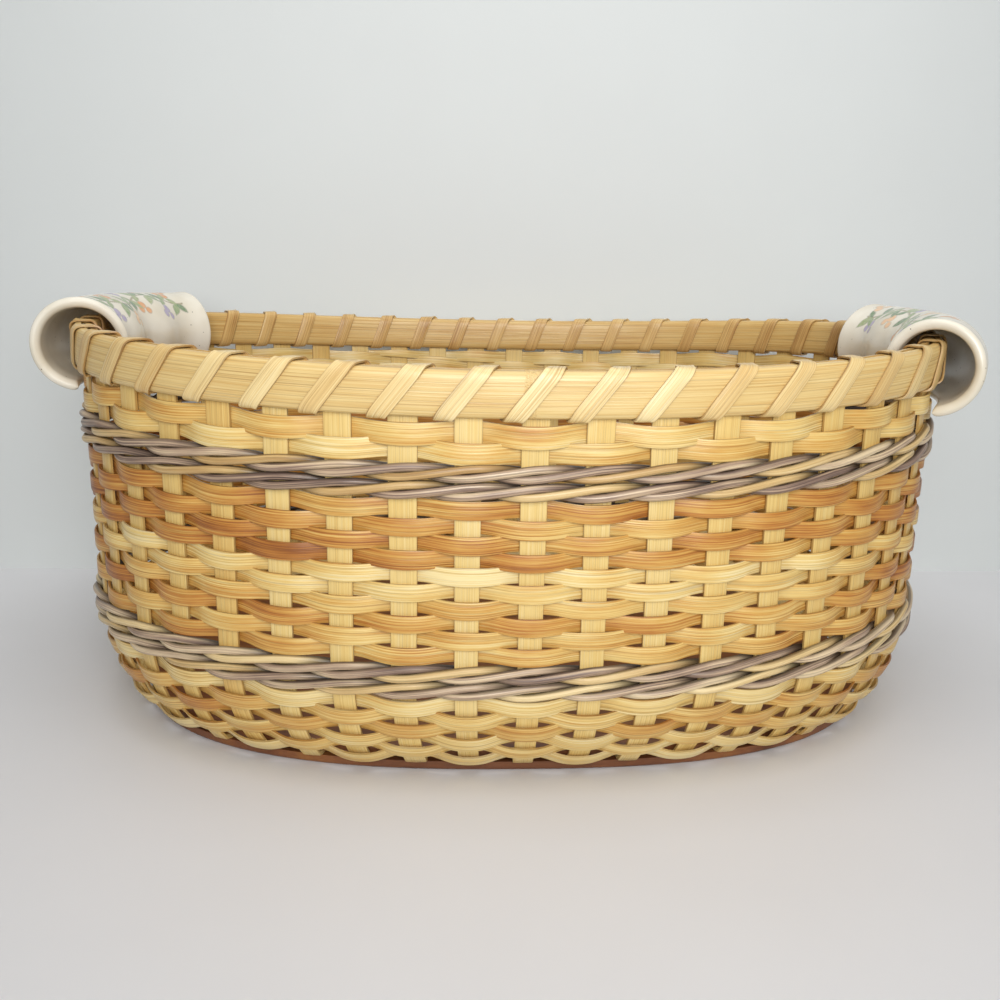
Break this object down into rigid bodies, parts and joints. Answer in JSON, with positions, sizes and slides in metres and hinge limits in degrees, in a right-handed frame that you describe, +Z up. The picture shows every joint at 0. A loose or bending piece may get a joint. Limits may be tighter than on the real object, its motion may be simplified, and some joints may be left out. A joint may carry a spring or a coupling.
{
  "type": "splint bread basket",
  "caption": "Oval woven splint basket with coloured bands, a lashed rim, a stained wooden base board and glazed ceramic sleeve handles that rock on the rim.",
  "frame": {"origin": "middle of the base board's underside, on the surface the basket stands on", "axes": "+X along the basket's length towards the right handle, +Y from the front to the back, +Z up"},
  "size_m": [0.3998, 0.2651, 0.1703],
  "materials": {
    "natural_reed": "satin",
    "dyed_reed": "satin",
    "grey_reed": "matte",
    "rim_reed": "satin",
    "lash_reed": "satin",
    "stained_wood": "satin",
    "glaze": "gloss"
  },
  "bodies": {
    "basket": {"board": "stained_wood", "stake_01": "natural_reed", "stake_02": "natural_reed", "stake_03": "natural_reed", "stake_04": "natural_reed", "stake_05": "natural_reed", "stake_06": "natural_reed", "stake_07": "natural_reed", "stake_08": "natural_reed", "stake_09": "natural_reed", "stake_10": "natural_reed", "stake_11": "natural_reed", "stake_12": "natural_reed", "stake_13": "natural_reed", "stake_14": "natural_reed", "stake_15": "natural_reed", "stake_16": "natural_reed", "stake_17": "natural_reed", "stake_18": "natural_reed", "stake_19": "natural_reed", "stake_20": "natural_reed", "stake_21": "natural_reed", "stake_22": "natural_reed", "stake_23": "natural_reed", "stake_24": "natural_reed", "stake_25": "natural_reed", "stake_26": "natural_reed", "stake_27": "natural_reed", "stake_28": "natural_reed", "stake_29": "natural_reed", "stake_30": "natural_reed", "stake_31": "natural_reed", "stake_32": "natural_reed", "stake_33": "natural_reed", "stake_34": "natural_reed", "stake_35": "natural_reed", "stake_36": "natural_reed", "stake_37": "natural_reed", "stake_38": "natural_reed", "stake_39": "natural_reed", "stake_40": "natural_reed", "stake_41": "natural_reed", "stake_42": "natural_reed", "stake_43": "natural_reed", "stake_44": "natural_reed", "stake_45": "natural_reed", "weaver_lower": "natural_reed", "weaver_middle": "dyed_reed", "weaver_upper": "natural_reed", "wale_lower_a": "grey_reed", "wale_lower_b": "grey_reed", "wale_lower_c": "natural_reed", "wale_upper_a": "grey_reed", "wale_upper_b": "grey_reed", "wale_upper_c": "natural_reed", "rim_outer": "rim_reed", "rim_inner": "rim_reed", "lashing": "lash_reed"},
    "handle_right": {"handle_right": "glaze"},
    "handle_left": {"handle_left": "glaze"}
  },
  "joints": [
    {"name": "handle_right_rock", "type": "hinge", "parent": "basket", "child": "handle_right", "pos_m": [0.16186, -0.01692, 0.16114], "axis": [-0.1663, -0.986, -0.0131], "range_deg": [0, 6]},
    {"name": "handle_left_rock", "type": "hinge", "parent": "basket", "child": "handle_left", "pos_m": [-0.16186, 0.01692, 0.16114], "axis": [0.1663, 0.986, -0.0131], "range_deg": [0, 6]}
  ]
}
